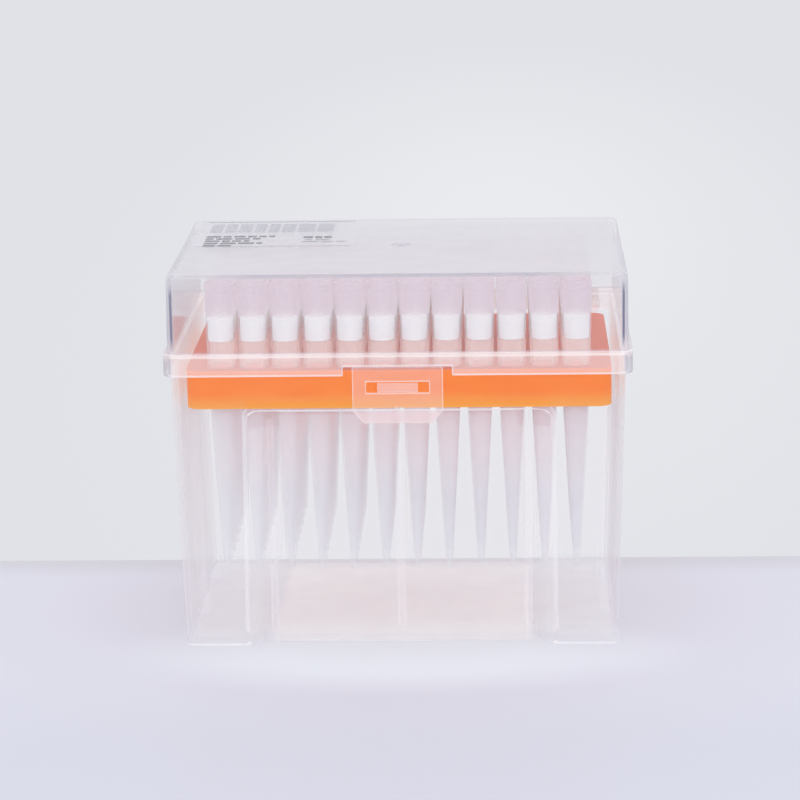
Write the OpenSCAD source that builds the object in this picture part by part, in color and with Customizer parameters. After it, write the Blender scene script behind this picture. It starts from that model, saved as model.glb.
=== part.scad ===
// Box of filter tips: a tub with a hinged lid and a latch flap, a lift-out rack,
// and a grid of tips that each hold a filter.
// Frame: +X along the box, +Y to the hinge side, +Z up. The origin is the middle of
// the tub's flat underside, under the middle of the tip grid. Millimetres throughout.

/* [Tip grid] */
// Distance between neighbouring tips
pitch = 9; // [7.5:0.1:12]
// Tips along the box
cols = 12; // [4:2:12]
// Tips across the box
rows = 8; // [2:2:8]

/* [Tip] */
// Length of a tip
tip_len = 82.7; // [60:0.1:110]
// Height of the head, from its mouth down to the shoulder that sits on the rack
head_h = 24; // [18:0.5:36]
// Space between the heads of neighbouring tips
head_gap = 0.3; // [0.1:0.05:1]
// How much narrower the head's radius is at its shoulder than at its mouth
head_taper = 0.4; // [0.1:0.05:0.8]
// Width of the shoulder that sits on the rack
seat_w = 0.45; // [0.3:0.05:0.8]
// Wall of the tip's head
head_wall = 0.5; // [0.35:0.05:0.8]
// Depth of the plain rim band round the mouth
rim_h = 2.2; // [1:0.1:4]
// How far the rim band stands out from the head
rim_out = 0.12; // [0.05:0.01:0.3]
// Chamfer round the rim band
rim_cut = 0.15; // [0.05:0.05:0.3]
// Flare of the bore at the mouth
mouth_flare = 0.1; // [0:0.05:0.2]
// Depth of that flare
mouth_flare_h = 1; // [0.5:0.5:3]
// How much the neck's radius narrows through the rack
neck_taper = 0.04; // [0.01:0.01:0.1]
// Outside radius at the point
point_r = 0.85; // [0.6:0.05:1.5]
// Bore radius at the point
point_bore_r = 0.4; // [0.2:0.05:0.55]
// Depth of the filter's top below the mouth
filter_drop = 9.8; // [6:0.1:12]
// Height of the filter
filter_h = 6.5; // [3:0.1:8]
// Width of the ledge that the filter sits on
filter_ledge = 0.35; // [0.2:0.05:0.6]
// Clearance round the filter
filter_gap = 0.04; // [0.02:0.01:0.1]

/* [Rack] */
// Height of the rack
rack_h = 11; // [8:0.5:16]
// Thickness of the deck
deck_t = 1.6; // [1.2:0.1:3]
// Wall of the skirt
rack_wall = 1.2; // [0.8:0.1:2]
// From the last tips' axes to the rack's ends
rack_end = 9.7; // [6:0.1:14]
// From the last tips' axes to the rack's long sides
rack_side = 5.3; // [5:0.1:8]
// Corner radius of the rack
rack_r = 4; // [2:0.5:5]
// Clearance between a tip's neck and its hole
hole_gap = 0.08; // [0.03:0.01:0.3]
// Thickness of the ribs under the deck
grid_t = 0.8; // [0.5:0.1:1.2]
// Depth of the ribs under the deck
grid_h = 4.5; // [2:0.5:8]

/* [Tub] */
// Wall of the tub
tub_wall = 1.5; // [1:0.1:2]
// Thickness of the floor
floor_t = 1.8; // [1:0.1:3]
// Space between the tips' points and the floor
point_gap = 18.5; // [4:0.5:30]
// Space between the rack's ends and the tub's rim
rim_gap_end = 2.3; // [1:0.1:6]
// Space between the rack's long sides and the tub's rim
rim_gap_side = 4.35; // [3.6:0.05:8]
// Height of the rim above the rack's deck
rim_above_deck = 5.1; // [3:0.1:10]
// Corner radius of the tub at its rim
tub_r = 2.5; // [2.5:0.5:10]
// Draft of the walls, in degrees
draft = 1.5; // [0.5:0.1:2]
// Space between the rack's skirt and the back of the arch recess
arch_gap = 0.3; // [0.15:0.05:1]
// Width of the arch recess at its back, under its head
arch_w = 76; // [40:1:84]
// How much wider each side of the recess gets towards the floor
arch_flare = 0.8; // [0:0.1:2]
// Width of the sloping jamb on each side of the recess
jamb_w = 4.5; // [2:0.5:8]
// Height of the sloping head of the recess
arch_head_h = 0.6; // [0.2:0.1:2]
// Corner radius at the head of the recess
arch_r = 3.5; // [2:0.5:8]
// Thickness of the upright ribs that carry the rack, at their tops
rib_t = 1.2; // [0.8:0.1:1.6]
// Extra thickness of those ribs at the floor
rib_swell = 1.0; // [0:0.1:2]
// How far the ribs reach under the rack's skirt
rib_reach = 1.5; // [1.2:0.1:2]

/* [Lid] */
// Wall of the lid
lid_wall = 1.2; // [0.8:0.1:2]
// Thickness of the lid's top
lid_top = 1.3; // [0.8:0.1:2]
// Space between the tips' mouths and the inside of the lid
mouth_gap = 2.9; // [1:0.1:6]
// Clearance between the tub and the lid's skirt
skirt_gap = 0.5; // [0.2:0.05:1]
// Wall of the skirt
skirt_wall = 1.25; // [0.8:0.05:2]
// Height of the skirt
skirt_h = 6.5; // [5:0.1:10]
// How far the skirt stands out from the lid's walls
shoulder_w = 1.1; // [0.8:0.1:2]
// Draft of the lid's walls, in degrees
lid_draft = 0.7; // [0.3:0.1:2]
// Radius of the lid's top edges
lid_edge_r = 1.5; // [1:0.25:2.25]
// Radius of the fillet inside those edges
lid_fillet_r = 0.8; // [0.5:0.1:1]
// Radius of the shallow dimple round the gate mark
gate_r = 2.6; // [1:0.1:4]
// Depth of that dimple
gate_depth = 0.4; // [0.2:0.05:0.6]
// Radius of the gate mark itself
gate_pip_r = 0.6; // [0.3:0.1:1]
// How far the gate mark stays below the lid's top
gate_pip_drop = 0.1; // [0.05:0.05:0.15]

/* [Latch] */
// Width of the flap
flap_w = 25; // [16:0.5:40]
// Length of the flap below its hinge line
flap_len = 15.4; // [12:0.2:20]
// Thickness of the flap
flap_t = 1; // [0.8:0.1:1.5]
// Chamfer across the flap's lower corners, along its width
flap_cut_w = 2.8; // [1:0.1:6]
// Chamfer across the flap's lower corners, along its length
flap_cut_h = 3.6; // [1:0.1:6]
// Gap between the flap and the notch, at each side
notch_gap = 2.5; // [1:0.1:4]
// Height of the notch above the skirt's lower edge
notch_h = 2.6; // [2:0.1:4]
// Width of the slot
slot_w = 17.4; // [10:0.1:20]
// Height of the slot
slot_h = 3.1; // [2.4:0.1:4]
// From the hinge line down to the slot
slot_drop = 3.7; // [2.5:0.1:8]
// Space between the flap's round top edge and the notch
hinge_web = 0.15; // [0.1:0.05:0.4]
// Space in the slot at each end of the catch bar
catch_end_gap = 2.6; // [0.5:0.1:4]
// Space in the slot above and below the catch bar
catch_gap = 0.15; // [0.05:0.05:0.5]
// Space between the flap's inner face and the tub's wall beside the hinge line
flap_back_gap = 0.6; // [0.3:0.05:1]
// Height of the catch bar's square nose, under its slope
catch_nose_h = 0.9; // [0.4:0.1:1.5]
// How far the catch bar stands into the slot
catch_bite = 0.8; // [0.4:0.1:0.9]

/* [Hinge] */
// From the box's middle to each pair of hinge ears
hinge_x = 54; // [40:0.5:56]
// Radius of the trunnions
trunnion_r = 1.5; // [1:0.1:2]
// Running clearance round a trunnion
trunnion_gap = 0.06; // [0.03:0.01:0.1]
// Radius of the lugs and ears round the hinge line
knuckle_r = 2.4; // [1.9:0.1:3]
// From the tub's back wall at its rim to the hinge line
hinge_out = 3; // [2.6:0.1:4]
// From the rim down to the hinge line
hinge_drop = 4.2; // [3.8:0.1:6]
// Width of each lug
lug_w = 3; // [2:0.1:5]
// Space over a lug in the skirt
lug_clear = 0.3; // [0.1:0.1:1]
// Height of a lug's web above the hinge line
lug_web_h = 0.8; // [0.2:0.1:1.5]
// How far a lug's buttress runs down the wall, below 45 degrees
lug_foot = 1.2; // [0:0.1:4]
// Width of each ear
ear_w = 2.2; // [1.5:0.1:4]
// From the shoulder down to the top of an ear's web
web_drop = 0.2; // [0.1:0.1:1]
// Clearance between a lug and its ears
ear_gap = 0.2; // [0.1:0.05:0.5]
// Angle at which the ears' heels meet the tub and stop the lid, in degrees
open_stop = 112; // [95:1:125]
// Gap that is left at the heels when the lid is at its stop
stop_gap = 0.05; // [0.02:0.01:0.2]

/* [Label] */
// Length of the label
label_w = 47; // [20:1:80]
// Depth of the label
label_d = 42; // [15:1:60]
// Thickness of the label
label_t = 0.1; // [0.05:0.01:0.3]
// Corner radius of the label
label_r = 2.5; // [0.5:0.5:6]
// From the lid's flat top's edges to the label
label_inset = 1.6; // [0.2:0.1:5]

/* [Hidden] */
round_fn = 32;   // facets of a full turn on blended corners
bore_fn = 48;    // true circles carry over exactly at any number above 12
eps = 0.05;      // how far a cutter runs past the face that it opens
root = 0.5;      // how far a rib or a lug is let into the wall that carries it
big = 400;

function two(n) = str(n < 10 ? "0" : "", n);

// Tip grid
grid_x = (cols - 1) / 2 * pitch;          // axis of the last column
grid_y = (rows - 1) / 2 * pitch;          // axis of the front and back rows
function col_x(c) = -grid_x + (c - 1) * pitch;
function row_y(r) = -grid_y + (r - 1) * pitch;

// Radii of a tip
mouth_r = (pitch - head_gap) / 2;
head_r = mouth_r - rim_out;               // head just under its rim band
seat_r = mouth_r - head_taper;            // head at its shoulder
neck_r = seat_r - seat_w;
hole_r = neck_r + hole_gap;

// Heights, from the floor up
point_z = floor_t + point_gap;
mouth_z = point_z + tip_len;
deck_z = mouth_z - head_h;                // top of the rack's deck
rack_z = deck_z - rack_h;                 // lower edge of the rack, on the ribs
rim_z = deck_z + rim_above_deck;          // tub's rim
shoulder_z = rim_z + lid_wall;
skirt_z = shoulder_z - skirt_h;           // skirt's lower edge
lid_in_z = mouth_z + mouth_gap;
lid_z = lid_in_z + lid_top;
filter_top_z = mouth_z - filter_drop;
filter_z = filter_top_z - filter_h;

// Half sizes in plan
rack_hx = grid_x + rack_end;
rack_hy = grid_y + rack_side;
rim_hx = rack_hx + rim_gap_end + tub_wall;
rim_hy = rack_hy + rim_gap_side + tub_wall;
function tub_in(z) = (rim_z - z) * tan(draft);          // how far a wall leans in at height z
foot_in = tub_in(0);
skirt_hx = rim_hx + skirt_gap + skirt_wall;
skirt_hy = rim_hy + skirt_gap + skirt_wall;
lid_hx = skirt_hx - shoulder_w;
lid_hy = skirt_hy - shoulder_w;
lid_in = (lid_z - shoulder_z) * tan(lid_draft);
lid_r = tub_r;
skirt_r = tub_r + skirt_gap + 0.25;       // tight outside, easy inside

// Arch recess: its back clears the rack's skirt, and follows the wall's draft below it
arch_in_y = rack_hy + arch_gap;           // tub's inner face there, level with the rack
arch_y = arch_in_y + tub_wall;            // outer face of the recess's back
arch_foot_y = arch_y - rack_z * tan(draft);
arch_depth = rim_hy - foot_in - arch_foot_y;
arch_top = rack_z - 0.1;

// Latch
notch_z = skirt_z + notch_h;
hinge_line_z = notch_z - hinge_web - flap_t / 2;
flap_in_y = rim_hy + flap_back_gap;
flap_y = flap_in_y + flap_t / 2;          // the living hinge's line, in the flap's middle
slot_top_z = hinge_line_z - slot_drop;
catch_w = slot_w - 2 * catch_end_gap;
catch_top_z = slot_top_z - catch_gap;
catch_z = slot_top_z - slot_h + catch_gap;

// Hinge
hinge_y = rim_hy + hinge_out;
hinge_z = rim_z - hinge_drop;
ear_r = trunnion_r + trunnion_gap;

// ---- Shared shapes ----

module round_rect(hx, hy, r) {
    // Filled rectangle with round corners, made of straight and round pieces only.
    square([2 * (hx - r), 2 * hy], center = true);
    square([2 * hx, 2 * (hy - r)], center = true);
    for (sx = [-1, 1], sy = [-1, 1])
        translate([sx * (hx - r), sy * (hy - r)]) circle(r = r, $fn = round_fn);
}

module slab(hx, hy, r, z, t = 0.01) {
    translate([0, 0, z]) linear_extrude(t) round_rect(hx, hy, r);
}

module drafted(hx0, hy0, r0, z0, hx1, hy1, r1, z1) {
    // Block with round corners whose walls lean between two heights.
    hull() {
        slab(hx0, hy0, r0, z0);
        slab(hx1, hy1, r1, z1 - 0.01);
    }
}

module along_x(w, x = 0) {
    // Extrudes a profile drawn in (y, z) along X, centred on x.
    translate([x - w / 2, 0, 0]) rotate([90, 0, 90]) linear_extrude(w) children();
}

// ---- Tub ----

module arch_profile(hx, top) {
    // Elevation of the recess: open at the bottom, round at its upper corners.
    polygon([[-hx - arch_flare, -2], [hx + arch_flare, -2], [hx, top - arch_r], [-hx, top - arch_r]]);
    translate([-hx + arch_r, top - arch_r - 1]) square([2 * (hx - arch_r), arch_r + 1]);
    for (sx = [-1, 1])
        translate([sx * (hx - arch_r), top - arch_r]) circle(r = arch_r, $fn = round_fn);
}

module arch_block(skin) {
    // The space in front of the recess's back, grown by skin on every side. It leans with the
    // wall, and its sides and head slope outwards to the wall's face and 2 mm past it.
    past = 2;
    slope = (arch_depth + past) / arch_depth;
    translate([0, -arch_foot_y, 0]) rotate([draft, 0, 0])
        hull() {
            translate([0, skin, 0]) rotate([90, 0, 0]) linear_extrude(0.01)
                arch_profile(arch_w / 2 + skin, arch_top + skin);
            translate([0, -arch_depth - past, 0]) rotate([90, 0, 0]) linear_extrude(0.01)
                arch_profile(arch_w / 2 + jamb_w * slope + skin, arch_top + arch_head_h * slope + skin);
        }
}

module rib(reach) {
    // Upright rib in a frame whose y = 0 is the wall's inner face level with the rack. It leans
    // with the wall, reaches towards +Y, and is thicker at the floor.
    foot_t = rib_t + rib_swell;
    lean = rack_z * tan(draft);
    intersection() {
        rotate([90, 0, 0]) translate([0, 0, -big / 2]) linear_extrude(big)
            polygon([[-foot_t / 2, 0], [foot_t / 2, 0], [rib_t / 2, rack_z], [-rib_t / 2, rack_z]]);
        along_x(10)
            polygon([[lean - root, 0], [lean + reach, 0], [reach, rack_z], [-root, rack_z]]);
    }
}

module base() {
    inner_hx = rim_hx - tub_wall;
    inner_hy = rim_hy - tub_wall;
    color([0.86, 0.91, 0.93, 0.55]) {
        difference() {
            drafted(rim_hx - foot_in, rim_hy - foot_in, tub_r - 1, 0,
                    rim_hx, rim_hy, tub_r, rim_z);
            difference() {
                drafted(inner_hx - foot_in, inner_hy - foot_in, (tub_r - tub_wall) / 2, 0,
                        inner_hx, inner_hy, tub_r - tub_wall, rim_z + eps);
                translate([-big / 2, -big / 2, -1]) cube([big, big, floor_t + 1]);
                for (side = [0, 180]) rotate([0, 0, side]) arch_block(tub_wall);
            }
            for (side = [0, 180]) rotate([0, 0, side]) arch_block(0);
        }
        tub_ribs();
        catch_bar();
        for (sx = [-1, 1]) hinge_lug(sx * hinge_x);
    }
}

module tub_ribs() {
    // Three ribs front and back stand between tips; two at each end stand between rows.
    mid = 4 * pitch;
    for (side = [0, 180], x = cols > 9 ? [-mid, 0, mid] : [0])
        rotate([0, 0, side]) translate([x, -arch_in_y, 0]) rib(arch_gap + rib_reach);
    end_x = rim_hx - tub_wall - tub_in(rack_z);
    for (side = [0, 180], y = rows > 5 ? [-2 * pitch, 2 * pitch] : [0])
        rotate([0, 0, side]) translate([-end_x, y, 0]) rotate([0, 0, -90])
            rib(end_x - rack_hx + rib_reach);
}

module catch_bar() {
    // Wedge that the flap rides over: flat below, sloping above.
    wall_y = -rim_hy + tub_in(catch_z) + root;
    nose_y = -flap_in_y - catch_bite;
    along_x(catch_w)
        polygon([[wall_y, catch_z], [nose_y, catch_z], [nose_y, catch_z + catch_nose_h],
                 [-flap_in_y, catch_top_z], [wall_y, catch_top_z]]);
}

module hinge_lug(x) {
    // Lug with a buttress below it and a trunnion on each side.
    wall_y = rim_hy - tub_in(hinge_z) - root;
    along_x(lug_w, x) {
        translate([hinge_y, hinge_z]) circle(r = knuckle_r, $fn = bore_fn);
        polygon([[wall_y, hinge_z + lug_web_h], [hinge_y, hinge_z + lug_web_h],
                 [hinge_y, hinge_z - knuckle_r],
                 [wall_y, hinge_z - knuckle_r - hinge_out - lug_foot]]);
    }
    along_x(lug_w + 2 * (ear_gap + ear_w), x)
        translate([hinge_y, hinge_z]) circle(r = trunnion_r, $fn = bore_fn);
}

// ---- Lid ----

module lid_block(skin) {
    // The lid's walls and top as a solid block, shrunk by skin on every side, with round top edges.
    hx = lid_hx - skin;
    hy = lid_hy - skin;
    r = lid_r - skin;
    top = skin == 0 ? lid_z : lid_in_z;
    edge = skin == 0 ? lid_edge_r : lid_fillet_r;
    foot = skin == 0 ? rim_z : rim_z - 2 * eps;
    hull() {
        slab(hx, hy, r, foot);
        for (a = [0 : 22.5 : 90]) {
            in = lid_in + edge * (1 - cos(a));
            slab(hx - in, hy - in, r - edge * (1 - cos(a)), top - edge * (1 - sin(a)) - 0.01);
        }
    }
}

module lid() {
    color([0.88, 0.93, 0.95, 0.35])
    difference() {
        union() {
            difference() {
                union() {
                    lid_block(0);
                    slab(skirt_hx, skirt_hy, skirt_r, skirt_z, skirt_h);
                }
                lid_block(lid_wall);
                slab(rim_hx + skirt_gap, rim_hy + skirt_gap, tub_r + skirt_gap, skirt_z - 1,
                     rim_z - skirt_z + 1);
                // Notch for the flap
                translate([-flap_w / 2 - notch_gap, -skirt_hy - 1, skirt_z - 1])
                    cube([flap_w + 2 * notch_gap, skirt_wall + 2, notch_z - skirt_z + 1]);
                // Openings in the skirt for the lugs
                for (sx = [-1, 1])
                    translate([sx * hinge_x - lug_w / 2 - ear_gap, rim_hy, skirt_z - 1])
                        cube([lug_w + 2 * ear_gap, skirt_gap + skirt_wall + 1,
                              hinge_z + knuckle_r + lug_clear - skirt_z + 1]);
            }
            for (sx = [-1, 1], se = [-1, 1])
                ear(sx * hinge_x + se * (lug_w + ear_w + 2 * ear_gap) / 2);
        }
        for (sx = [-1, 1])
            along_x(lug_w + 2 * ear_gap + 2 * ear_w + 1, sx * hinge_x)
                translate([hinge_y, hinge_z]) circle(r = ear_r, $fn = bore_fn);
        gate_dimple();
    }
}

module gate_dimple() {
    // Round dimple with the moulding's gate mark left standing in it.
    translate([0, 0, lid_z - gate_depth])
        difference() {
            cylinder(r = gate_r, h = 1, $fn = bore_fn);
            translate([0, 0, -1])
                cylinder(r = gate_pip_r, h = 1 + gate_depth - gate_pip_drop, $fn = bore_fn);
        }
}

module ear(x) {
    // Ear round a trunnion, with a square heel that lies flat on the tub's wall at the stop.
    along_x(ear_w, x) {
        translate([hinge_y, hinge_z]) {
            circle(r = knuckle_r, $fn = bore_fn);
            rotate(180 + open_stop) square([hinge_out + tub_in(hinge_z) - stop_gap, knuckle_r]);
        }
        // Web that joins the ear to the skirt, let into most of its wall
        web_y = rim_hy + skirt_gap + skirt_wall / 4;
        polygon([[web_y, hinge_z], [hinge_y + knuckle_r, hinge_z],
                 [rim_hy + skirt_gap + skirt_wall, shoulder_z - web_drop],
                 [web_y, shoulder_z - web_drop]]);
    }
}

// ---- Latch ----

module latch() {
    // Flap with a round top edge on the hinge line, chamfered lower corners and a slot.
    color([0.9, 0.93, 0.95, 0.5])
    difference() {
        union() {
            along_x(flap_w)
                translate([-flap_y, hinge_line_z]) circle(r = flap_t / 2, $fn = bore_fn);
            translate([0, -flap_in_y, hinge_line_z]) rotate([90, 0, 0])
                linear_extrude(flap_t)
                    polygon([[-flap_w / 2, 0], [flap_w / 2, 0],
                             [flap_w / 2, -flap_len + flap_cut_h],
                             [flap_w / 2 - flap_cut_w, -flap_len],
                             [-flap_w / 2 + flap_cut_w, -flap_len],
                             [-flap_w / 2, -flap_len + flap_cut_h]]);
        }
        translate([-slot_w / 2, -flap_in_y - flap_t - 1, slot_top_z - slot_h])
            cube([slot_w, flap_t + 2, slot_h]);
    }
}

// ---- Label ----

module label() {
    flat_hx = lid_hx - lid_in - lid_edge_r;
    flat_hy = lid_hy - lid_in - lid_edge_r;
    color([0.95, 0.96, 0.97, 0.7])
    translate([-flat_hx + label_inset + label_w / 2, flat_hy - label_inset - label_d / 2, lid_z])
        linear_extrude(label_t) round_rect(label_w / 2, label_d / 2, label_r);
}

// ---- Rack ----

module rack() {
    color([0.96, 0.45, 0.2])
    difference() {
        union() {
            difference() {
                translate([0, 0, rack_z]) linear_extrude(rack_h) round_rect(rack_hx, rack_hy, rack_r);
                translate([0, 0, rack_z - 1]) linear_extrude(rack_h - deck_t + 1)
                    round_rect(rack_hx - rack_wall, rack_hy - rack_wall, rack_r - rack_wall);
            }
            // Ribs under the deck, half way between the holes
            for (c = [1 : cols - 1])
                translate([col_x(c) + pitch / 2 - grid_t / 2, -rack_hy + rack_wall / 2,
                           deck_z - deck_t - grid_h])
                    cube([grid_t, 2 * rack_hy - rack_wall, grid_h + deck_t / 2]);
            for (r = [1 : rows - 1])
                translate([-rack_hx + rack_wall / 2, row_y(r) + pitch / 2 - grid_t / 2,
                           deck_z - deck_t - grid_h])
                    cube([2 * rack_hx - rack_wall, grid_t, grid_h + deck_t / 2]);
        }
        for (c = [1 : cols], r = [1 : rows])
            translate([col_x(c), row_y(r), rack_z - 1])
                cylinder(r = hole_r, h = rack_h + 2, $fn = bore_fn);
    }
}

// ---- Tips and filters ----

function bore_at(z) =
    // Radius of the bore above the filter's ledge; it follows the head's outer taper.
    seat_r - head_wall + (z - deck_z) / head_h * (mouth_r - seat_r - rim_out);

module tip() {
    filter_floor_r = bore_at(filter_z);
    rotate_extrude($fn = bore_fn)
        polygon([
            [point_bore_r, point_z],
            [point_r, point_z],
            [neck_r - neck_taper, rack_z - 1],
            [neck_r, deck_z],
            [seat_r, deck_z],
            [head_r, mouth_z - rim_h],
            [mouth_r, mouth_z - rim_h + rim_cut],
            [mouth_r, mouth_z - rim_cut],
            [mouth_r - rim_cut, mouth_z],
            [bore_at(mouth_z) + mouth_flare, mouth_z],
            [bore_at(mouth_z - mouth_flare_h), mouth_z - mouth_flare_h],
            [filter_floor_r, filter_z],
            [filter_floor_r - filter_ledge, filter_z],
            [neck_r - head_wall, deck_z - 1],
            [neck_r - neck_taper - head_wall, rack_z - 1]]);
}

module filter() {
    translate([0, 0, filter_z])
        cylinder(r1 = bore_at(filter_z) - filter_gap, r2 = bore_at(filter_top_z) - filter_gap,
                 h = filter_h, $fn = bore_fn);
}

module tips(c) {
    color([0.9, 0.93, 0.94, 0.5])
        for (r = [1 : rows]) translate([col_x(c), row_y(r), 0]) tip();
}

module filters(c) {
    color([0.97, 0.97, 0.96])
        for (r = [1 : rows]) translate([col_x(c), row_y(r), 0]) filter();
}

base();
lid();
latch();
label();
rack();
for (c = [1 : cols]) {
    tips(c);
    filters(c);
}
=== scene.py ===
# %% [markdown]
# # A box of filter tips
#
# The box is moulded in polypropylene: a frosted tub, a clear lid on a snap hinge, an orange
# rack, and ninety-six tips with a white filter in each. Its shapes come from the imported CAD
# frame, already in place and in metres. This lesson gives them their finishes, adds the
# print on the label and the small marks that moulding leaves, and then lights and frames it.

# %% Load the frame
import math
import random

import bpy
from mathutils import Matrix, Vector


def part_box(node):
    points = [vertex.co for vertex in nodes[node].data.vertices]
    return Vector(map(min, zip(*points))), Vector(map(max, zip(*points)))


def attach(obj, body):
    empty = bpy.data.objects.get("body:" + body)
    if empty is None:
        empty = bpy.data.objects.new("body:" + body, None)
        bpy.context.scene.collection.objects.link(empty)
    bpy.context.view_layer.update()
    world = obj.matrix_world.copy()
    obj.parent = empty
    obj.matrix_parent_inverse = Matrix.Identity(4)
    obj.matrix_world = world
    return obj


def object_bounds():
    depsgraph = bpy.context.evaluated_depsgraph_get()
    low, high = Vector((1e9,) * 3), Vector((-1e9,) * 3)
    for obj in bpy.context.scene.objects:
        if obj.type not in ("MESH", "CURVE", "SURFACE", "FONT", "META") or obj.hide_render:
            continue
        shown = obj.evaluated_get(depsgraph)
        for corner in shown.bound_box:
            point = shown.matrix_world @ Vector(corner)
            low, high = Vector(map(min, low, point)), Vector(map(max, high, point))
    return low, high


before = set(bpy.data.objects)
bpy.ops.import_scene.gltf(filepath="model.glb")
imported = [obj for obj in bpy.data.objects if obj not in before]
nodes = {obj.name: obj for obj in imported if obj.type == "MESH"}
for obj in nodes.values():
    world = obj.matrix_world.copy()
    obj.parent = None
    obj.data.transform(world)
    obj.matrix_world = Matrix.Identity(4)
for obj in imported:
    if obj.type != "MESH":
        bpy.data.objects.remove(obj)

cad_box = [list(corner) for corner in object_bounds()]
scene = bpy.context.scene
print("nodes:", len(nodes), "size in mm:", [round(1000 * (b - a), 1) for a, b in zip(*cad_box)])

# %% [markdown]
# ## The camera
#
# The box is seen from the front, a little from the right and from above. A long lens at
# about 0.9 m keeps its sides almost parallel. The view comes first, so that every finish
# below can be judged in it.

# %% Camera
LENS_MM = 137.277
SENSOR_MM = 36.0
eye = Vector((0.029407, -0.860269, 0.268475))
right = Vector((0.999382, 0.031448, -0.015734))
up = Vector((0.007931, 0.234324, 0.972126))

camera = bpy.data.objects.new("camera", bpy.data.cameras.new("camera"))
scene.collection.objects.link(camera)
camera.data.sensor_width = SENSOR_MM
camera.data.lens = LENS_MM
camera.data.clip_start = 0.01
camera.matrix_world = Matrix.LocRotScale(
    eye, Matrix((right, up, right.cross(up))).transposed().to_quaternion(), None)
scene.camera = camera
print("camera", round(camera.data.lens, 1), "mm lens,", round(eye.length, 3), "m away")

# %% [markdown]
# ## Helpers for materials
#
# Colours are written as sRGB hex values and turned to linear in one place. One small
# function adds a node with its settings and its links, so that a material reads as a list.
# The frame is in metres, so lengths in mm are multiplied by MM, and a pattern of a given
# size in mm has the scale PER_MM / size.

# %% Helpers
MM = 0.001
PER_MM = 1000.0


def linear(hex_colour, alpha=1.0):
    """sRGB hex to linear RGBA."""
    parts = [int(hex_colour[i:i + 2], 16) / 255 for i in (0, 2, 4)]
    return tuple(c / 12.92 if c <= 0.04045 else ((c + 0.055) / 1.055) ** 2.4
                 for c in parts) + (alpha,)


def add(tree, kind, inputs=None, **settings):
    """Adds a node. inputs gives a socket a value, or another node's output to read."""
    made = tree.nodes.new(kind)
    for name, value in settings.items():
        setattr(made, name, value)
    for socket, value in (inputs or {}).items():
        if isinstance(value, bpy.types.NodeSocket):
            tree.links.new(value, made.inputs[socket])
        else:
            made.inputs[socket].default_value = value
    return made


def new_material(name):
    """An empty material and its node tree."""
    material = bpy.data.materials.new(name)
    material.use_nodes = True
    material.node_tree.nodes.clear()
    return material, material.node_tree


def dress(node_name, material):
    """Gives a CAD node its finish."""
    for slot in nodes[node_name].material_slots:
        slot.material = material


print("helpers: linear, add, new_material, dress")

# %% [markdown]
# ## Natural polypropylene
#
# Polypropylene without a pigment is never quite clear. Its crystals scatter light, so a
# wall looks like thin milk: more so where it is seen edge-on, because the line of sight
# stays in it for longer. Glass shaders need many bounces to show that through dozens of thin
# walls. Here each face is a Principled surface that is partly see-through instead: Alpha
# is the haze of half a wall, and Layer Weight raises it towards the edges. It is quick,
# free of noise, and each wall in line adds its own haze, as on the real box.
#
# The mould leaves its own surface on the plastic. Polished steel gives the lid and tips
# a gloss with a slight waviness of a few millimetres; an eroded mould gives the tub a fine
# matt grain. Both are bumps from noise. A second, broad noise makes the haze uneven, as
# cooling does.
#
# Some places on a piece are hazier or clearer than the rest of it, and some get a tint that is
# painted light or painted shade. Each is a zone: a box with a soft border, in the piece's own
# coordinates, so that it stays put when a joint moves.

# %% Natural polypropylene
PP_IOR = 1.49
NOISE_LOW, NOISE_HIGH = 0.3, 0.7       # nearly all of a noise texture's values lie in here
UNEVEN = 0.12                          # the share by which cooling changes the haze
EDGE_BLEND = 0.35                      # how soon the haze grows as a face turns away
SIDE_FROM, SIDE_FULL = 0.6, 0.95       # from tint to a darker colour, painted shade, by how far it has turned


def zone_share(tree, spot, low, high, soft):
    """How much of a zone's effect a spot gets: none outside the box from low to high, in mm,
    and all of it past a border that is the soft share of half the box."""
    middle = [(a + b) / 2 * MM for a, b in zip(low, high)]
    half = [(b - a) / 2 * MM for a, b in zip(low, high)]
    away = add(tree, "ShaderNodeVectorMath", {0: spot, 1: middle}, operation="SUBTRACT")
    away = add(tree, "ShaderNodeVectorMath", {0: away.outputs[0], 1: half}, operation="DIVIDE")
    away = add(tree, "ShaderNodeVectorMath", {0: away.outputs[0]}, operation="ABSOLUTE")
    x, y, z = add(tree, "ShaderNodeSeparateXYZ", {0: away.outputs[0]}).outputs
    most = add(tree, "ShaderNodeMath", {0: x, 1: y}, operation="MAXIMUM").outputs[0]
    most = add(tree, "ShaderNodeMath", {0: most, 1: z}, operation="MAXIMUM").outputs[0]
    return add(tree, "ShaderNodeMapRange",
               {"Value": most, "From Min": 1.0, "From Max": 1.0 - soft,
                "To Min": 0.0, "To Max": 1.0}).outputs["Result"]


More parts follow.
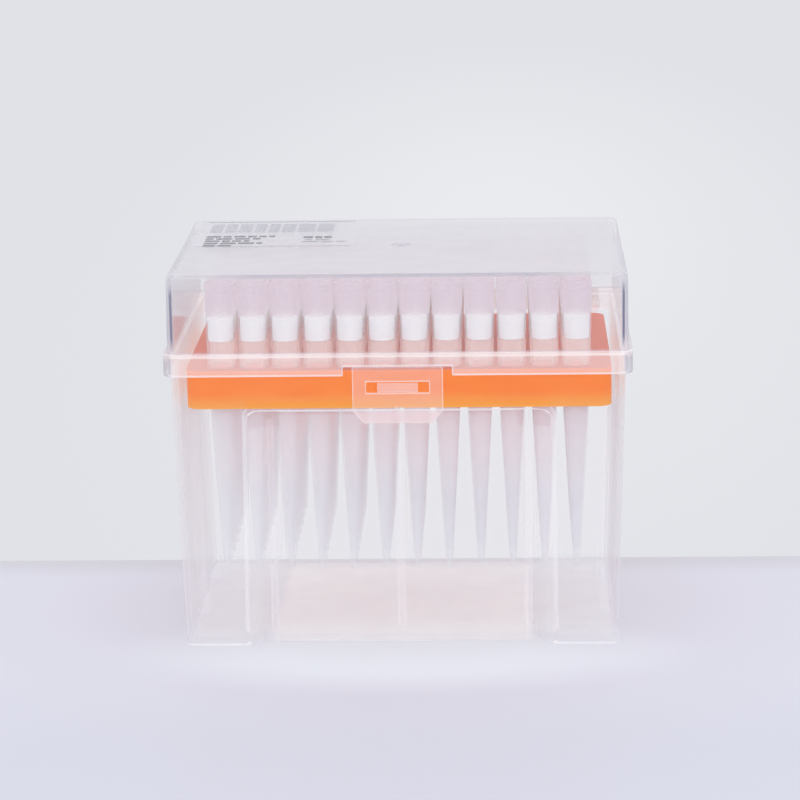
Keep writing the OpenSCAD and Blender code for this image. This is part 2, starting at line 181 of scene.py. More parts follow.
def natural_pp(name, tint, painted_side_shade, haze, glance_haze, roughness, grain_mm, grain_depth_mm,
               cloud_mm, zones=()):
    """Unpigmented polypropylene. haze is the alpha of one face seen square on, glance_haze
    that of one seen from the side, where tint turns to a darker side colour: painted shade,
    as a clear wall looks dark edge-on. zones are the same left and right: (lowest corner in
    mm with X taken without its sign, highest corner, extra haze, soft share, tint)."""
    material, tree = new_material(name)
    place = add(tree, "ShaderNodeTexCoord").outputs["Object"]
    grain = add(tree, "ShaderNodeTexNoise",
                {"Vector": place, "Scale": PER_MM / grain_mm, "Detail": 1.0})
    bump = add(tree, "ShaderNodeBump",
               {"Height": grain.outputs["Fac"], "Distance": grain_depth_mm * MM})
    cloud = add(tree, "ShaderNodeTexNoise",
                {"Vector": place, "Scale": PER_MM / cloud_mm, "Detail": 2.0})
    uneven = add(tree, "ShaderNodeMapRange",
                 {"Value": cloud.outputs["Fac"], "From Min": NOISE_LOW, "From Max": NOISE_HIGH,
                  "To Min": 1.0 - UNEVEN, "To Max": 1.0 + UNEVEN})
    glance = add(tree, "ShaderNodeLayerWeight", {"Blend": EDGE_BLEND}).outputs["Facing"]
    alpha = add(tree, "ShaderNodeMapRange",
                {"Value": glance, "To Min": haze, "To Max": glance_haze}).outputs["Result"]
    colour = linear(tint)
    unsigned = add(tree, "ShaderNodeVectorMath", {0: place}, operation="ABSOLUTE").outputs[0]
    folded = add(tree, "ShaderNodeVectorMath", {0: unsigned, 1: (1.0, 0.0, 0.0)},
                 operation="MULTIPLY").outputs[0]
    folded = add(tree, "ShaderNodeVectorMath", {0: place, 1: (0.0, 1.0, 1.0), 2: folded},
                 operation="MULTIPLY_ADD").outputs[0]
    for low, high, extra, soft, zone_tint in zones:
        share = zone_share(tree, folded, low, high, soft)
        alpha = add(tree, "ShaderNodeMath", {0: share, 1: extra, 2: alpha},
                    operation="MULTIPLY_ADD", use_clamp=True).outputs[0]
        colour = add(tree, "ShaderNodeMix",
                     {"Factor": share, "A": colour, "B": linear(zone_tint)},
                     data_type="RGBA").outputs["Result"]
    alpha = add(tree, "ShaderNodeMath", {0: alpha, 1: uneven.outputs["Result"]},
                operation="MULTIPLY")
    # Seen edge-on the colour turns darker as well: painted shade, for the dark edges of a clear
    # wall.
    side_on = add(tree, "ShaderNodeMapRange",
                  {"Value": glance, "From Min": SIDE_FROM, "From Max": SIDE_FULL,
                   "To Min": 0.0, "To Max": 1.0}, interpolation_type="SMOOTHSTEP")
    colour = add(tree, "ShaderNodeMix",
                 {"Factor": side_on.outputs["Result"], "A": colour, "B": linear(painted_side_shade)},
                 data_type="RGBA").outputs["Result"]
    skin = add(tree, "ShaderNodeBsdfPrincipled",
               {"Base Color": colour, "Roughness": roughness, "IOR": PP_IOR,
                "Alpha": alpha.outputs["Value"], "Normal": bump.outputs["Normal"]})
    add(tree, "ShaderNodeOutputMaterial", {"Surface": skin.outputs["BSDF"]})
    return material


# %% Zones of the lid, tub, flap and tips
SKIRT_MM = ((-66, -46, 76), (66, 50, 85.3))                # the lid's skirt is left matt
SKIRT_END_MM = ((62, -45, 76), (65.4, -40, 85.3))          # greyer where it turns the corner: painted shade
GATE_MM = ((-1.8, -1.4, 106), (1.8, 0.7, 108))             # the broken gate is rough and dark
CORNER_MM = ((62.5, -44, 85.3), (64, -40.6, 105.8))        # corners are thicker than walls, and greyer: painted shade
CORNER_IN_MM = ((61.7, -44, 85.3), (62.6, -40.4, 105.6))   # painted shade, darkest where the inside turns
BROW_MM = ((-64, -43.7, 105.9), (64, -41.9, 107.4))        # the top's front edge is thick too, with a grey line of painted shade
TOP_SIDE_MM = ((61, -41, 105.4), (64, 44, 107.4))          # its side edges hardly show

BAND_MM = ((-60, -50, 67.6), (60, -30, 79.6))              # the rack is close behind the wall
ROOF_MM = ((-42, -42, 66.5), (42, -35, 71))                # and behind the recess's top
RECESS_TOP_MM = ((-39, -48, 67.9), (39, -41.9, 69))        # whose front edge is pale: painted light
ARC_MM = ((33, -42, 63), (42, -34, 70))                    # its corners are clear on the inside
RIB_MM = ((-1.3, -43, -1), (1.3, -36, 66))                 # ribs thicken the front wall
SIDE_RIB_MM = ((34.9, -43, -1), (37.1, -36, 66))
CATCH_MM = ((-6.2, -45, 73), (6.2, -42.6, 78))             # the latch's catch is thick
FLOOR_MM = ((-36, -43, -1), (36, 43, 3))                   # painted light between the recesses
FLOOR_END_MM = ((36, -43, -1), (63, 43, 3))                # grey in the shade of the ends
SOLE_MM = ((-64, -48, -1), (64, -39.6, 0.7))               # the sole takes light from the table

FLAP_TIP_MM = ((-13, -45, 60), (13, -42, 68.8))            # the flap's free end is thicker

TAPER_MM = ((-60, -40, 42), (60, 40, 91))                  # the rack glows down into the tips
HEADS_MM = ((-60, -40, 93), (60, 40, 110))                 # their heads are thick, and tinted darker: painted shade
NECKS_MM = ((-60, -40, 79), (60, 40, 87))                  # and the rack shines up into them

LID_ZONES = [(*SKIRT_MM, 0.1, 0.02, "FFF3F1"), (*SKIRT_END_MM, 0.15, 0.5, "BCBCC6"),
             (*CORNER_MM, 0.15, 0.4, "C0C4D0"), (*CORNER_IN_MM, 0.6, 0.4, "7A7A92"),
             (*BROW_MM, 0.28, 0.4, "A8A8B4"), (*TOP_SIDE_MM, -0.45, 0.3, "E6E6EC"),
             (*GATE_MM, 0.35, 0.6, "86868E")]
TUB_ZONES = [(*BAND_MM, -0.035, 0.02, "FBF9FB"), (*ROOF_MM, -0.5, 0.1, "FBF9FB"),
             (*RECESS_TOP_MM, 0.6, 0.1, "FFF4EA"), (*ARC_MM, -0.5, 0.1, "FBF9FB"),
             (*RIB_MM, 0.13, 0.3, "FFF8FC"), (*SIDE_RIB_MM, 0.13, 0.03, "FFF8FC"),
             (*CATCH_MM, 0.34, 0.1, "F6F4F8"), (*FLOOR_MM, 0.0, 0.02, "FFFFFF"),
             (*FLOOR_END_MM, 0.03, 0.05, "E9EBF1"), (*SOLE_MM, 0.6, 0.02, "FFFFFF")]
FLAP_ZONES = [(*FLAP_TIP_MM, 0.4, 0.1, "F3DCDC")]
TIP_ZONES = [(*TAPER_MM, 0.0, 0.95, "FFE5E5"), (*HEADS_MM, 0.28, 0.12, "DECCD4"),
             (*NECKS_MM, 0.15, 0.2, "FFE3D8")]
print("zones:", [len(zones) for zones in (LID_ZONES, TUB_ZONES, FLAP_ZONES, TIP_ZONES)])


# %% Finishes of the lid, tub, flap and tips
def let_light_in(node_name):
    """Haze scatters light but hardly stops it, so it neither casts a shadow nor dims inside."""
    nodes[node_name].visible_shadow = nodes[node_name].visible_diffuse = False


lid_pp = natural_pp("lid_pp_clear_polished", "E2DFE4", "A4A4B8", haze=0.1, glance_haze=0.86,
                    roughness=0.12, grain_mm=9.0, grain_depth_mm=0.03, cloud_mm=30.0,
                    zones=LID_ZONES)
tub_pp = natural_pp("tub_pp_frosted", "FBF9FB", "E2E0E8", haze=0.05, glance_haze=0.5,
                    roughness=0.38, grain_mm=0.5, grain_depth_mm=0.006, cloud_mm=22.0,
                    zones=TUB_ZONES)
flap_pp = natural_pp("flap_pp_clear_polished", "FCF8FA", "DAD8E2", haze=0.08, glance_haze=0.6,
                     roughness=0.2, grain_mm=4.0, grain_depth_mm=0.02, cloud_mm=8.0,
                     zones=FLAP_ZONES)
tip_pp = natural_pp("tip_pp_natural", "DFDDE3", "CECBD5", haze=0.09, glance_haze=0.45,
                    roughness=0.22, grain_mm=3.0, grain_depth_mm=0.01, cloud_mm=12.0,
                    zones=TIP_ZONES)
dress("lid", lid_pp)
dress("base", tub_pp)
dress("latch", flap_pp)
for name in ("lid", "base", "latch", "label"):
    let_light_in(name)
for name in nodes:
    if name.startswith("tips_"):
        dress(name, tip_pp)
        let_light_in(name)
print("see-through plastics:", [m.name for m in (lid_pp, tub_pp, flap_pp, tip_pp)])

# %% [markdown]
# ## Pale edges
#
# No moulded edge is sharp. A clear wall guides light to its edges and lets it out there, so
# every rim, rib and corner is drawn with a pale line; the lid's is grey, painted shade. The
# CAD edges are sharp, so a bevel modifier cuts each one off, without a change to the mesh
# below it, and puts the new faces in a second material slot, whose finish is the same plastic
# with more haze.
#
# The CAD faces come as separate patches of triangles, so they are joined first, and flat ones
# are made whole. Then every sharp edge gets a weight: an edge beside a narrow face, such as a
# chamfer, is cut less, so that cuts don't meet each other. The hinges' small parts stay as
# they are.

# %% Join the CAD faces
JOIN_MM = 0.002


def geometry_group(name):
    """A geometry-nodes group that takes a geometry and gives one."""
    group = bpy.data.node_groups.new(name, "GeometryNodeTree")
    for way in ("INPUT", "OUTPUT"):
        group.interface.new_socket("Geometry", in_out=way,
                                   socket_type="NodeSocketGeometry")
    return group


joined = geometry_group("join_cad_faces")
merged = add(joined, "GeometryNodeMergeByDistance",
             {"Geometry": add(joined, "NodeGroupInput").outputs[0], "Distance": JOIN_MM * MM})
add(joined, "NodeGroupOutput", {0: merged.outputs[0]})
print("group", joined.name)

# %% Weigh their edges
SHARP_DEGREES = 30
ROOM = 0.22   # the most a cut takes of the mean width of the two faces at its edge
HINGE_X_MM, HINGE_Y_MM, HINGE_HALF_MM = 54.0, 42.3, 5.0

weighed = geometry_group("weigh_edges")
for name in ("Width", "Angle"):
    weighed.interface.new_socket(name, in_out="INPUT", socket_type="NodeSocketFloat")
given = add(weighed, "NodeGroupInput").outputs
angle = add(weighed, "GeometryNodeInputMeshEdgeAngle").outputs["Unsigned Angle"]

# A face is as wide as its area / the edge's length, and a cut gets ROOM of that width.
ends = add(weighed, "GeometryNodeInputMeshEdgeVertices").outputs
length = add(weighed, "ShaderNodeVectorMath", {0: ends["Position 1"], 1: ends["Position 2"]},
             operation="DISTANCE").outputs["Value"]
area = add(weighed, "GeometryNodeInputMeshFaceArea").outputs[0]
per_area = add(weighed, "ShaderNodeMath", {0: 1.0, 1: area}, operation="DIVIDE")
per_area = add(weighed, "GeometryNodeFieldOnDomain", {0: per_area.outputs[0]}, domain="FACE")
narrow = add(weighed, "ShaderNodeMath", {0: length, 1: per_area.outputs[0]},
             operation="MULTIPLY")
narrow = add(weighed, "ShaderNodeMath", {0: narrow.outputs[0], 1: given["Width"]},
             operation="MULTIPLY")
weight = add(weighed, "ShaderNodeMath", {0: ROOM, 1: narrow.outputs[0]}, operation="DIVIDE",
             use_clamp=True)

# Edges less sharp than the angle are not cut.
cut = add(weighed, "FunctionNodeCompare", {0: angle, 1: given["Angle"]},
          operation="GREATER_THAN")
weight = add(weighed, "ShaderNodeMath", {0: weight.outputs[0], 1: cut.outputs[0]},
             operation="MULTIPLY")

# Edges at a hinge are not cut either.
spot = add(weighed, "GeometryNodeInputPosition").outputs[0]
place = add(weighed, "ShaderNodeSeparateXYZ", {0: spot}).outputs
aside = add(weighed, "ShaderNodeMath", {0: place["X"]}, operation="ABSOLUTE")
aside = add(weighed, "ShaderNodeMath", {0: aside.outputs[0], 1: HINGE_X_MM * MM,
                                        2: HINGE_HALF_MM * MM}, operation="COMPARE")
behind = add(weighed, "ShaderNodeMath", {0: place["Y"], 1: HINGE_Y_MM * MM},
             operation="GREATER_THAN")
hinge = add(weighed, "ShaderNodeMath", {0: aside.outputs[0], 1: behind.outputs[0]},
            operation="MULTIPLY")
weight = add(weighed, "ShaderNodeMath", {0: weight.outputs[0], 1: hinge.outputs[0]},
             operation="SUBTRACT", use_clamp=True)

# The bevel reads the weight, and the shading breaks at the sharp edges.
stored = add(weighed, "GeometryNodeStoreNamedAttribute",
             {"Geometry": given["Geometry"], "Name": "bevel_weight_edge",
              "Value": weight.outputs[0]}, domain="EDGE", data_type="FLOAT")
sharp = add(weighed, "FunctionNodeCompare", {0: angle, 1: math.radians(SHARP_DEGREES)},
            operation="GREATER_THAN")
shaded = add(weighed, "GeometryNodeSetMeshNormal",
             {"Mesh": stored.outputs[0], "Remove Custom": True,
              "Edge Sharpness": sharp.outputs[0]}, mode="SHARPNESS")
add(weighed, "NodeGroupOutput", {0: shaded.outputs[0]})
print("group", weighed.name)

# %% Finishes of the edges
JAMB_MM = ((37, -40, -1), (41.4, -34, 66))                 # soft inner edges of the recess
BEHIND_MM = ((-60, -50, 68.9), (60, -30, 79.6))            # edges right in front of the rack
END_IN_MM = ((50, -41.2, -1), (64, 46, 66))                # edges at the ends, behind two walls
FLOOR_RIM_MM = ((-64, -41.2, -1), (64, 46, 4))             # and round the floor
RECESS_TOP_EDGE_MM = ((-44, -48, 67.4), (44, -42, 68.9))   # the recess's top takes light
RIB_EDGE_MM = ((-1.6, -43, -1), (1.6, -34, 68))            # the ribs' own edges are soft
SIDE_RIB_EDGE_MM = ((34.6, -43, -1), (37.4, -34, 68))
SOLE_EDGE_MM = ((-64, -48, -1), (64, -39.6, 1.2))          # the front of the sole takes light
TUB_EDGE_ZONES = [(*JAMB_MM, -0.26, 0.02, "FFFCFD"), (*BEHIND_MM, -0.6, 0.02, "FFFCFD"),
                  (*END_IN_MM, -0.34, 0.05, "FFFCFD"), (*FLOOR_RIM_MM, -0.28, 0.02, "FFFCFD"),
                  (*RECESS_TOP_EDGE_MM, 0.35, 0.02, "FFFAF4"),
                  (*ARC_MM, -0.6, 0.02, "FFFCFD"),
                  (*RIB_EDGE_MM, -0.2, 0.02, "FFFCFD"),
                  (*SIDE_RIB_EDGE_MM, -0.2, 0.02, "FFFCFD"),
                  (*SOLE_EDGE_MM, 0.6, 0.02, "FFFFFF")]
# On the lid the cut faces are grey, darker than the lid: painted shade along its outline.
lid_edge = natural_pp("lid_pp_edge", "C6C4D4", "9C9CB4", haze=0.3, glance_haze=0.6,
                      roughness=0.2, grain_mm=4.0, grain_depth_mm=0.01, cloud_mm=30.0,
                      zones=[(*SKIRT_MM, 0.2, 0.02, "FFFAFB")])
tub_edge = natural_pp("tub_pp_edge", "FFFCFD", "EAE8EE", haze=0.3, glance_haze=0.45,
                      roughness=0.35, grain_mm=0.5, grain_depth_mm=0.006, cloud_mm=22.0,
                      zones=TUB_EDGE_ZONES)
flap_edge = natural_pp("flap_pp_edge", "FFF6F2", "F0E6E8", haze=0.34, glance_haze=0.45,
                       roughness=0.2, grain_mm=4.0, grain_depth_mm=0.01, cloud_mm=8.0)
print("edge materials:", [m.name for m in (lid_edge, tub_edge, flap_edge)])

# %% Bevel the edges
FLAT_DEGREES = 0.5   # faces this close to one plane become one


def soften(node_name, width_mm, edge_material, least_degrees=SHARP_DEGREES):
    """Cuts the sharp edges of a CAD node off and gives the cut faces their own material."""
    thing = nodes[node_name]
    thing.data.materials.append(edge_material)
    thing.modifiers.new("join_cad_faces", "NODES").node_group = joined
    flat = thing.modifiers.new("flat_faces", "DECIMATE")
    flat.decimate_type = "DISSOLVE"
    flat.angle_limit = math.radians(FLAT_DEGREES)
    weights = thing.modifiers.new("weigh_edges", "NODES")
    weights.node_group = weighed
    inputs = {item.name: item.identifier for item in weighed.interface.items_tree}
    weights[inputs["Width"]] = width_mm * MM
    weights[inputs["Angle"]] = math.radians(least_degrees)
    bevel = thing.modifiers.new("worn_edges", "BEVEL")
    bevel.width = width_mm * MM
    bevel.segments = 1
    bevel.limit_method = "WEIGHT"
    bevel.use_clamp_overlap = False
    bevel.material = len(thing.data.materials) - 1
    thing.modifiers.new("even_shading", "WEIGHTED_NORMAL").keep_sharp = True
    print("pale edges of", node_name, "up to", width_mm, "mm")


soften("lid", 0.3, lid_edge)
soften("base", 0.45, tub_edge)
soften("latch", 0.25, flap_edge, least_degrees=50)

# %% [markdown]
# ## The orange rack
#
# The rack is the same plastic with an orange pigment. It is dense enough to hide what is
# behind it, but its thin skirt still glows where light comes through from below, so its
# lower edge is yellower. The deck, in the shade of the tips, is deeper in colour. The flow
# of the melt leaves faint streaks of stronger colour.

# %% Rack
GLOW_MM, DECK_MM = 4.5, 0.2       # depths of the glow, and of the deck's deeper colour
STREAK_MM, STREAK_SQUASH = 14.0, 4.0
RACK_GRAIN_MM, RACK_GRAIN_DEPTH_MM = 0.6, 0.01

rack_low, rack_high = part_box("rack")
rack_pp, tree = new_material("rack_pp_orange_moulded")
place = add(tree, "ShaderNodeTexCoord").outputs["Object"]
height = add(tree, "ShaderNodeSeparateXYZ", {"Vector": place}).outputs["Z"]
squashed = add(tree, "ShaderNodeMapping",
               {"Vector": place, "Scale": (1.0, 1.0, STREAK_SQUASH)}).outputs["Vector"]
streaks = add(tree, "ShaderNodeTexNoise",
              {"Vector": squashed, "Scale": PER_MM / STREAK_MM, "Detail": 3.0})
strength = add(tree, "ShaderNodeMapRange",
               {"Value": streaks.outputs["Fac"], "From Min": NOISE_LOW, "From Max": NOISE_HIGH,
                "To Min": 0.0, "To Max": 1.0})
pigment = add(tree, "ShaderNodeMix", {"Factor": strength.outputs["Result"],
                                      "A": linear("FD7A16"), "B": linear("FF8420")},
              data_type="RGBA")
glow = add(tree, "ShaderNodeMapRange",
           {"Value": height, "From Min": rack_low.z + GLOW_MM * MM, "From Max": rack_low.z,
            "To Min": 0.0, "To Max": 1.0})
colour = add(tree, "ShaderNodeMix", {"Factor": glow.outputs["Result"],
                                     "A": pigment.outputs["Result"], "B": linear("F8A341")},
             data_type="RGBA")
deck = add(tree, "ShaderNodeMath", {0: height, 1: rack_high.z - DECK_MM * MM},
           operation="GREATER_THAN")
colour = add(tree, "ShaderNodeMix", {"Factor": deck.outputs[0],
                                     "A": colour.outputs["Result"], "B": linear("E0622A")},
             data_type="RGBA")
grain = add(tree, "ShaderNodeTexNoise", {"Vector": place, "Scale": PER_MM / RACK_GRAIN_MM})
bump = add(tree, "ShaderNodeBump",
           {"Height": grain.outputs["Fac"], "Distance": RACK_GRAIN_DEPTH_MM * MM})
skin = add(tree, "ShaderNodeBsdfPrincipled",
           {"Base Color": colour.outputs["Result"], "Roughness": 0.45, "IOR": PP_IOR,
            "Specular IOR Level": 0.25, "Normal": bump.outputs["Normal"]})
add(tree, "ShaderNodeOutputMaterial", {"Surface": skin.outputs["BSDF"]})
dress("rack", rack_pp)
print("rack", [round(1000 * v, 1) for v in (rack_high - rack_low)], "mm")

# %% [markdown]
# ## The filters
#
# Each filter is polyethylene powder, sintered in a mould: fine grains that touch, with air
# between them. It is the whitest thing in the box. The grains are about 0.2 mm and are
# drawn at 0.4 mm, so that they show.

# %% Filters
GRAIN_MM, GRAIN_DEPTH_MM = 0.4, 0.08

filter_pe, tree = new_material("filter_pe_sintered")
place = add(tree, "ShaderNodeTexCoord").outputs["Object"]
grains = add(tree, "ShaderNodeTexVoronoi", {"Vector": place, "Scale": PER_MM / GRAIN_MM})
tone = add(tree, "ShaderNodeMix",
           {"Factor": grains.outputs["Distance"], "A": linear("FFFAF8"), "B": linear("F1ECEA")},
           data_type="RGBA")
bump = add(tree, "ShaderNodeBump", {"Height": grains.outputs["Distance"],
                                    "Distance": GRAIN_DEPTH_MM * MM}, invert=True)
skin = add(tree, "ShaderNodeBsdfPrincipled",
           {"Base Color": tone.outputs["Result"], "Roughness": 0.9,
            "Normal": bump.outputs["Normal"]})
add(tree, "ShaderNodeOutputMaterial", {"Surface": skin.outputs["BSDF"]})
for name in nodes:
    if name.startswith("filters_"):
        dress(name, filter_pe)
print("filters:", sum(name.startswith("filters_") for name in nodes), "columns")

# %% [markdown]
# ## The label
#
# The label is a clear film stuck on the lid, printed on its underside. The film is a little
# hazier than the lid. Its print is plain bars in rows: wide pale ones for a heading, and
# narrow dark ones for small text. Each bar is a thin solid inside the film, so it rides
# with the lid and shows through the film's face.

# %% Label film
label_film = natural_pp("label_film_clear", "E6E5EB", "C0C0CC", haze=0.12, glance_haze=0.4,
                        roughness=0.25, grain_mm=6.0, grain_depth_mm=0.01, cloud_mm=15.0)
dress("label", label_film)
label_low, label_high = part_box("label")
print("label", [round(1000 * v, 1) for v in (label_high - label_low)], "mm")


# %% Bars and ink
BAR_CORNER_MM = 0.3
PINHOLE_MM = 0.7
PINHOLE_FROM, PINHOLE_TO = 0.3, 0.6   # the part of the noise in which a hole fills up
PINHOLE_INK = 0.6                     # of the cover, where there is a hole


def bars_mesh(name, bars, low_z, high_z):
    """One mesh of flat bars. Each bar is (x0, y0, x1, y1) in metres, with cut corners."""
    points, faces = [], []
    for x0, y0, x1, y1 in bars:
        cut = min(BAR_CORNER_MM * MM, (x1 - x0) / 4, (y1 - y0) / 4)
        ring = [(x0 + cut, y0), (x1 - cut, y0), (x1, y0 + cut), (x1, y1 - cut),
                (x1 - cut, y1), (x0 + cut, y1), (x0, y1 - cut), (x0, y0 + cut)]
        first, count = len(points), len(ring)
        points += [(x, y, low_z) for x, y in ring] + [(x, y, high_z) for x, y in ring]
        faces.append([first + i for i in reversed(range(count))])
        faces.append([first + count + i for i in range(count)])
        faces += [[first + i, first + (i + 1) % count,
                   first + count + (i + 1) % count, first + count + i] for i in range(count)]
    mesh = bpy.data.meshes.new(name)
    mesh.from_pydata(points, [], faces)
    piece = bpy.data.objects.new(name, mesh)
    scene.collection.objects.link(piece)
    return piece


def ink(name, hex_colour, cover):
    """Flexo ink on film: matt, with pinholes where the film was not wetted."""
    material, tree = new_material(name)
    place = add(tree, "ShaderNodeTexCoord").outputs["Object"]
    holes = add(tree, "ShaderNodeTexNoise",
                {"Vector": place, "Scale": PER_MM / PINHOLE_MM, "Detail": 3.0})
    alpha = add(tree, "ShaderNodeMapRange",
                {"Value": holes.outputs["Fac"], "From Min": PINHOLE_FROM,
                 "From Max": PINHOLE_TO, "To Min": cover * PINHOLE_INK, "To Max": cover})
    skin = add(tree, "ShaderNodeBsdfPrincipled",
               {"Base Color": linear(hex_colour), "Roughness": 0.6,
                "Alpha": alpha.outputs["Result"]})
    add(tree, "ShaderNodeOutputMaterial", {"Surface": skin.outputs["BSDF"]})
    return material


def on_label(left, down, right, bottom):
    """A bar in metres, from mm to the right of and down from the label's back left corner."""
    return (label_low.x + left * MM, label_high.y - bottom * MM,
            label_low.x + right * MM, label_high.y - down * MM)


def row_of_words(rng, left, right, down, height, word, gap):
    """Bars of uneven length along a row, like words, in mm. word is their least and greatest
    length."""
    bars, x = [], left
    while x < right - word[0]:
        end = min(x + rng.uniform(*word), right)
        bars.append(on_label(x, down, end, down + height))
        x = end + gap
    return bars


print("makers: bars_mesh, ink, on_label, row_of_words")

# %% Print on the label
SEED = 4
SIDE_MARGIN = 1.5 * MM
INK_FROM, INK_TO = 0.4, 0.6   # of the film's thickness

rng = random.Random(SEED)
heading = row_of_words(rng, 3.4, 40.4, down=4.8, height=13.6, word=(3.0, 5.2), gap=0.8)
small = []
for row, reach in enumerate((20, 16, 13, 17, 9)):
    small += row_of_words(rng, 3.2, 3.2 + reach, down=24.0 + 3.5 * row, height=2.3,
                          word=(1.6, 5.0), gap=0.7)
small += row_of_words(rng, 31.6, 39.8, down=25.6, height=3.0, word=(1.6, 4.0), gap=0.6)
faint = (row_of_words(rng, 32.2, 39.4, down=30.2, height=1.4, word=(2.0, 5.0), gap=0.8)
         + row_of_words(rng, 31.6, 45.4, down=33.4, height=1.2, word=(2.0, 5.0), gap=0.8))
rules = [(label_low.x + SIDE_MARGIN, label_high.y - 1.9 * MM,
          label_high.x - SIDE_MARGIN, label_high.y - 1.1 * MM),
         (label_low.x + SIDE_MARGIN, label_low.y + 1.1 * MM,
          label_high.x - SIDE_MARGIN, label_low.y + 1.5 * MM)]
film = label_high.z - label_low.z
for what, bars, colour, cover in (
        ("heading", heading, "C2C2CA", 0.48), ("small_print", small, "5A5A66", 0.85),
        ("faint_print", faint, "8F8F9A", 0.7), ("rules", rules, "8E8E9C", 0.7)):
    piece = bars_mesh("label_" + what, bars, label_low.z + INK_FROM * film,
                      label_low.z + INK_TO * film)
    piece.data.materials.append(ink("ink_" + what, colour, cover))
    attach(piece, "lid")
    print(piece.name, len(bars), "bars")

# %% [markdown]
# ## The table and the wall
#
# The box stands on satin white acrylic. The table ends just behind it, and a pale grey
# wall takes over. The floor goes on in the wall's colour past the edge, so that other
# views have a floor too. The camera sees that colour as it is, through Light Path, and the
# lamps stay at a level at which a colour renders about as it is written.

# %% Floor
REACH = 4.0           # metres of floor to each side
EDGE_Y = 0.0455       # where the table ends
DROP_MM = 0.05        # so that the box's underside doesn't lie in the same plane

floor_mesh = bpy.data.meshes.new("floor")
floor_mesh.from_pydata([(x, y, 0) for y in (-REACH, EDGE_Y, REACH) for x in (-REACH, REACH)],
                       [], [(0, 1, 3, 2), (2, 3, 5, 4)])
floor = bpy.data.objects.new("floor", floor_mesh)
floor.location.z = cad_box[0][2] - DROP_MM * MM
scene.collection.objects.link(floor)
print("floor:", len(floor_mesh.polygons), "faces, the table's edge at y =", EDGE_Y)

# %% The table's acrylic
ACRYLIC_IOR = 1.49
SHADE_FROM_Y = 0.025                     # greyer from here to the far edge
FALL_FROM_Y, FALL_TO_Y = -0.06, -0.13    # and a little darker in front of the box: painted shade
PATCH_AHEAD = 0.004                      # a painted pool of light on the table has its middle this far in front
PATCH_HALF = (0.095, 0.038, 1.0)
PATCH_CORE = 0.3

acrylic, tree = new_material("table_acrylic_white")
place = add(tree, "ShaderNodeTexCoord").outputs["Object"]
across = add(tree, "ShaderNodeSeparateXYZ", {0: place}).outputs["Y"]
back = add(tree, "ShaderNodeMapRange",
           {"Value": across, "From Min": SHADE_FROM_Y, "From Max": EDGE_Y,
            "To Min": 0.0, "To Max": 1.0}, interpolation_type="SMOOTHSTEP")
tone = add(tree, "ShaderNodeMix", {"Factor": back.outputs["Result"],
                                   "A": linear("DBDDEA"), "B": linear("D1D2DB")},
           data_type="RGBA")
fall = add(tree, "ShaderNodeMapRange",
           {"Value": across, "From Min": FALL_FROM_Y, "From Max": FALL_TO_Y,
            "To Min": 0.0, "To Max": 1.0}, interpolation_type="SMOOTHSTEP")
tone = add(tree, "ShaderNodeMix", {"Factor": fall.outputs["Result"],
                                   "A": tone.outputs["Result"], "B": linear("D5D7E4")},
           data_type="RGBA")
# Painted light: the table is lighter just in front of the box.
away = add(tree, "ShaderNodeVectorMath",
           {0: place, 1: (0.0, cad_box[0][1] - PATCH_AHEAD, 0.0)}, operation="SUBTRACT")
away = add(tree, "ShaderNodeVectorMath", {0: away.outputs[0], 1: PATCH_HALF},
           operation="DIVIDE")
away = add(tree, "ShaderNodeVectorMath", {0: away.outputs[0]}, operation="LENGTH")
light_pool = add(tree, "ShaderNodeMapRange",
            {"Value": away.outputs["Value"], "From Min": PATCH_CORE, "From Max": 1.0,
             "To Min": 1.0, "To Max": 0.0}, interpolation_type="SMOOTHSTEP")
tone = add(tree, "ShaderNodeMix", {"Factor": light_pool.outputs["Result"],
                                   "A": tone.outputs["Result"], "B": linear("EAF3FD")},
           data_type="RGBA")
skin = add(tree, "ShaderNodeBsdfPrincipled",
           {"Base Color": tone.outputs["Result"], "Roughness": 0.45, "IOR": ACRYLIC_IOR,
            "Specular IOR Level": 0.3})
add(tree, "ShaderNodeOutputMaterial", {"Surface": skin.outputs["BSDF"]})
floor.data.materials.append(acrylic)
print("table:", acrylic.name)


# %% The wall's paint
def seen_directly(tree):
    """1 for what the camera sees, straight, in a gloss or through a see-through face."""
    rays = add(tree, "ShaderNodeLightPath").outputs
    seen = add(tree, "ShaderNodeMath", {0: rays["Is Camera Ray"], 1: rays["Is Glossy Ray"]},
               operation="MAXIMUM").outputs[0]
    return add(tree, "ShaderNodeMath", {0: seen, 1: rays["Is Transmission Ray"]},
               operation="MAXIMUM").outputs[0]


POOL_MIDDLE = (0.03, 0.62, 0.0)       # painted light: the wall is a little lighter behind the box
POOL_HALF = (0.2, 0.75, 1.0)
POOL_END = 1.1                        # times that half size

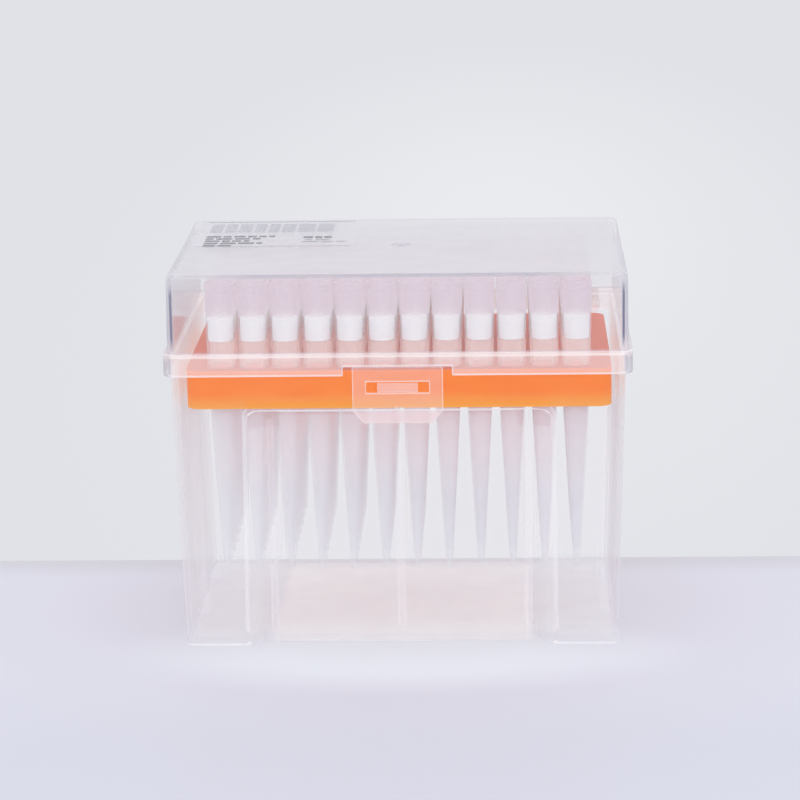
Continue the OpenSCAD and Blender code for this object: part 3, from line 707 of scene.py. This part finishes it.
wall, tree = new_material("wall_pale_grey")
place = add(tree, "ShaderNodeTexCoord").outputs["Object"]
away = add(tree, "ShaderNodeVectorMath", {0: place, 1: POOL_MIDDLE}, operation="SUBTRACT")
away = add(tree, "ShaderNodeVectorMath", {0: away.outputs[0], 1: POOL_HALF},
           operation="DIVIDE")
away = add(tree, "ShaderNodeVectorMath", {0: away.outputs[0]}, operation="LENGTH")
pool = add(tree, "ShaderNodeMapRange",
           {"Value": away.outputs["Value"], "From Min": 0.0, "From Max": POOL_END,
            "To Min": 1.0, "To Max": 0.0}, interpolation_type="SMOOTHSTEP")
tone = add(tree, "ShaderNodeMix", {"Factor": pool.outputs["Result"],
                                   "A": linear("E1E2E7"), "B": linear("EAEBEF")},
           data_type="RGBA")
plain = add(tree, "ShaderNodeBsdfDiffuse", {"Color": linear("E4E5E9")})
shown = add(tree, "ShaderNodeEmission", {"Color": tone.outputs["Result"], "Strength": 1.0})
both = add(tree, "ShaderNodeMixShader",
           {0: seen_directly(tree), 1: plain.outputs[0], 2: shown.outputs[0]})
add(tree, "ShaderNodeOutputMaterial", {"Surface": both.outputs[0]})
floor.data.materials.append(wall)
floor.data.polygons[1].material_index = 1
print("wall:", wall.name)

# %% [markdown]
# ## The light of the room
#
# Most of the light comes evenly from all round, as in a tent of white cloth. Three square
# lamps add a little direction: one overhead, one from the front left, one from the right.

# %% World
world = bpy.data.worlds.new("room")
world.use_nodes = True
tree = world.node_tree
tree.nodes.clear()
light = add(tree, "ShaderNodeBackground", {"Color": linear("FDFDFF"), "Strength": 1.0})
shown = add(tree, "ShaderNodeBackground", {"Color": linear("E6E7EB"), "Strength": 1.0})
both = add(tree, "ShaderNodeMixShader",
           {0: seen_directly(tree), 1: light.outputs[0], 2: shown.outputs[0]})
add(tree, "ShaderNodeOutputWorld", {"Surface": both.outputs[0]})
scene.world = world
print("world:", world.name)


# %% Lamps
def softbox(name, place, aim, size, power):
    """A square area lamp that faces a point."""
    lamp = bpy.data.objects.new(name, bpy.data.lights.new(name, "AREA"))
    lamp.data.size = size
    lamp.data.energy = power
    lamp.location = place
    lamp.rotation_euler = (Vector(aim) - Vector(place)).to_track_quat("-Z", "Y").to_euler()
    scene.collection.objects.link(lamp)


middle = (Vector(cad_box[0]) + Vector(cad_box[1])) / 2
softbox("overhead", (0.1, 0.15, 0.95), middle, size=0.3, power=0.4)
softbox("front_left", (-0.6, -1.1, 0.35), middle, size=0.45, power=1.6)
softbox("right", (0.9, -0.6, 0.3), middle, size=0.4, power=0.9)

# %% [markdown]
# ## Many walls in line
#
# A line of sight through the box meets the lid, eight tips and the far wall: over thirty
# faces. Each one is a see-through step, and a slanting line may meet more of them, so the
# scene allows eighty before it gives up.

# %% Light paths
scene.cycles.transparent_max_bounces = 80
scene.view_settings.view_transform = "Standard"
print("see-through steps:", scene.cycles.transparent_max_bounces)
